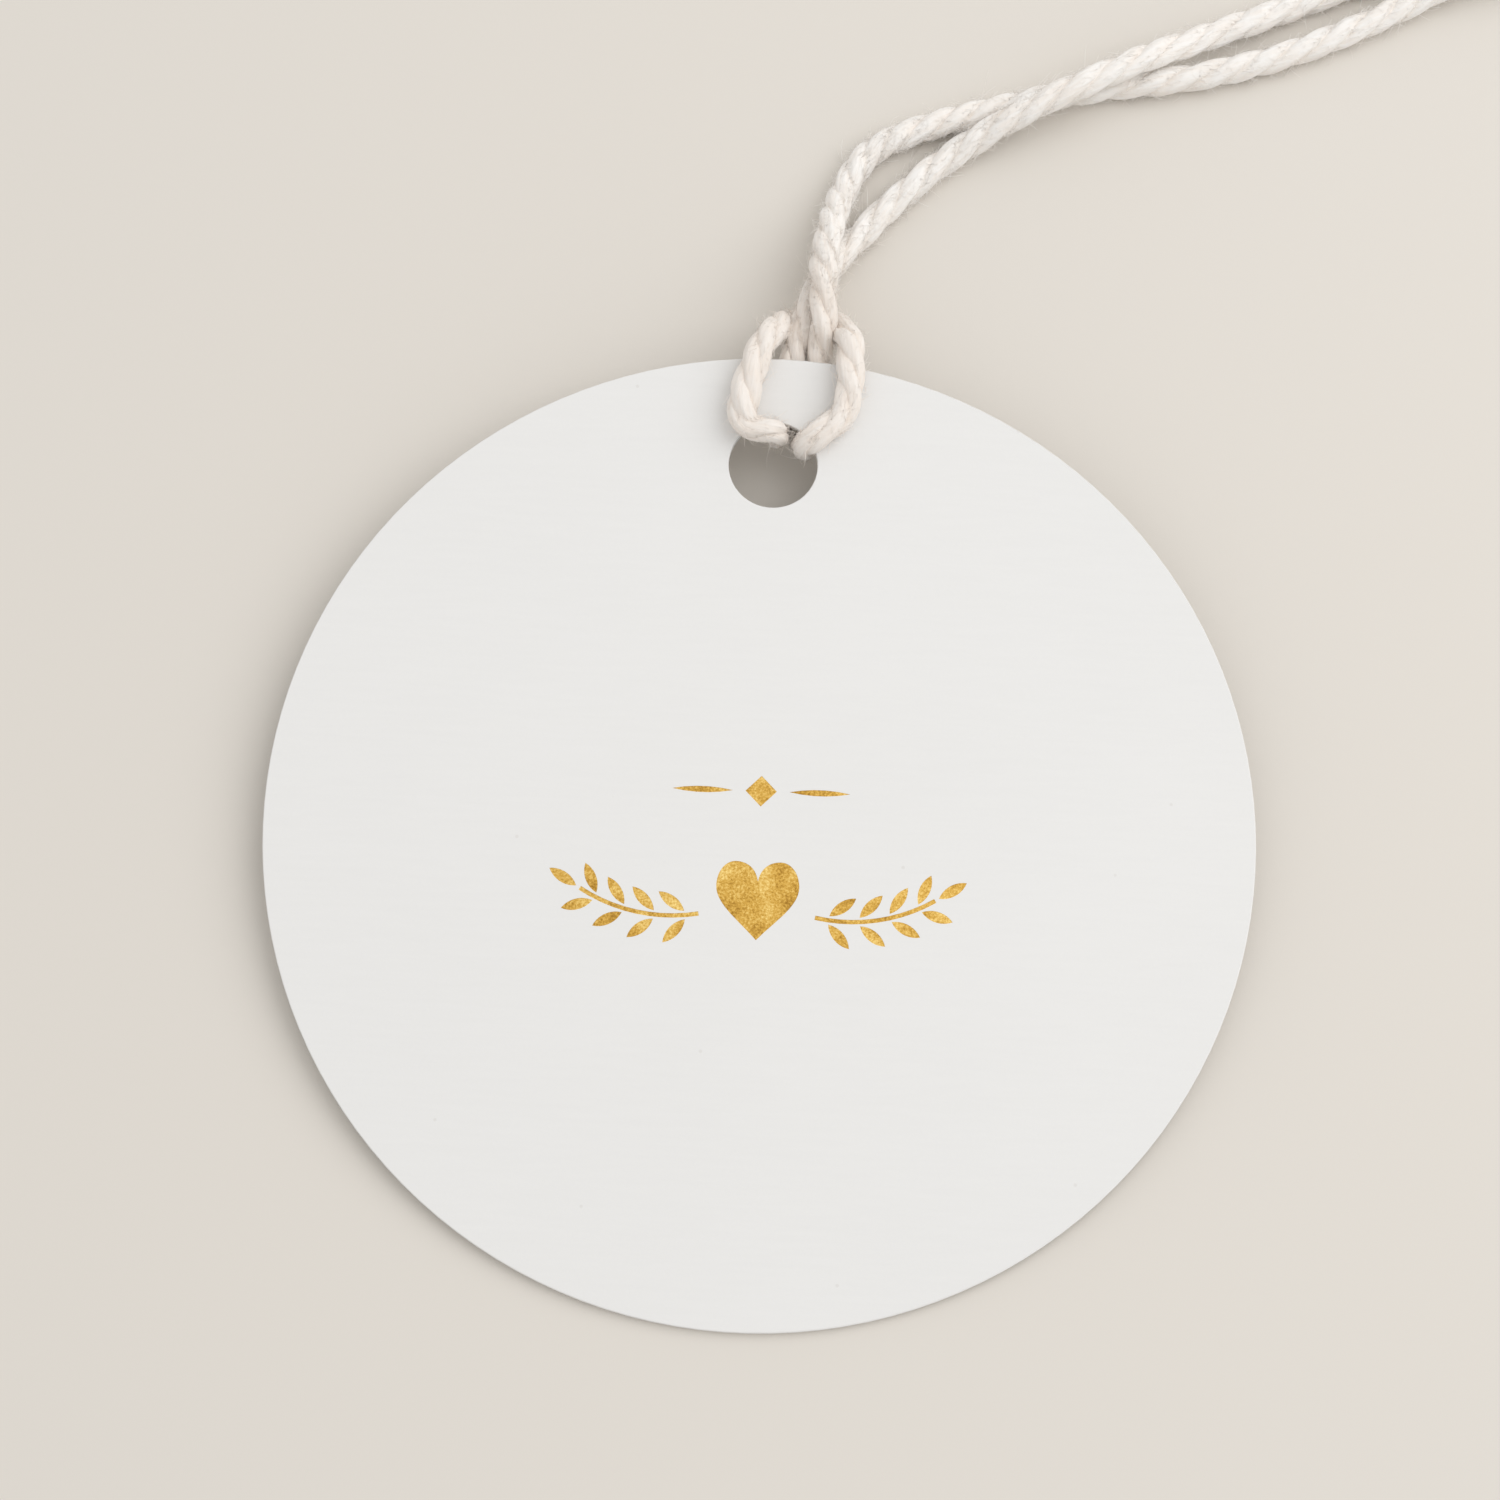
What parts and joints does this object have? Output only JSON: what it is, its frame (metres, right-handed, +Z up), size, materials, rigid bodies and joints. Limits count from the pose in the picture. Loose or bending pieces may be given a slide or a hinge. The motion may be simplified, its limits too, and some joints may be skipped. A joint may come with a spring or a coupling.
{
  "type": "gift tag",
  "caption": "Round white card gift tag with a gold foil heart, sprigs and rules and a punched hole, tied on a twisted cotton cord by a cow hitch and ending in a knot with frayed tails.",
  "frame": {"origin": "on the surface that the tag lies on, under the middle of the card's box", "axes": "+Z up out of the card's printed face as it lies, +Y from the middle of the card towards the hole, +X to the right of the face"},
  "size_m": [0.0954, 0.1014, 0.0059],
  "materials": {
    "card_stock": "uncoated off-white card",
    "gold_foil": "hot-stamped gold foil, softly grained",
    "cotton_cord": "cream cotton, three plies twisted, fuzzy"
  },
  "bodies": {
    "card": {"card": "card_stock", "foil_heart": "gold_foil", "foil_sprig_left": "gold_foil", "foil_sprig_right": "gold_foil", "foil_rules": "gold_foil", "foil_diamond": "gold_foil"},
    "hitch": {"hitch": "cotton_cord", "left_leg_root": "cotton_cord", "right_leg_root": "cotton_cord"},
    "loop": {"left_leg": "cotton_cord", "right_leg": "cotton_cord", "end_knot": "cotton_cord", "left_tail": "cotton_cord", "right_tail": "cotton_cord"}
  },
  "joints": [
    {"name": "hitch_turn", "type": "hinge", "parent": "card", "child": "hitch", "pos_m": [0, 0.02306, 0.0034], "axis": [0, -0.0594, 0.9982], "range_deg": [-7, 15]},
    {"name": "cord_swing", "type": "hinge", "parent": "hitch", "child": "loop", "pos_m": [0.0029, 0.037, 0.0031], "axis": [1, 0, 0], "range_deg": [0, 150], "deforming": ["left_leg_root", "right_leg_root"]}
  ]
}
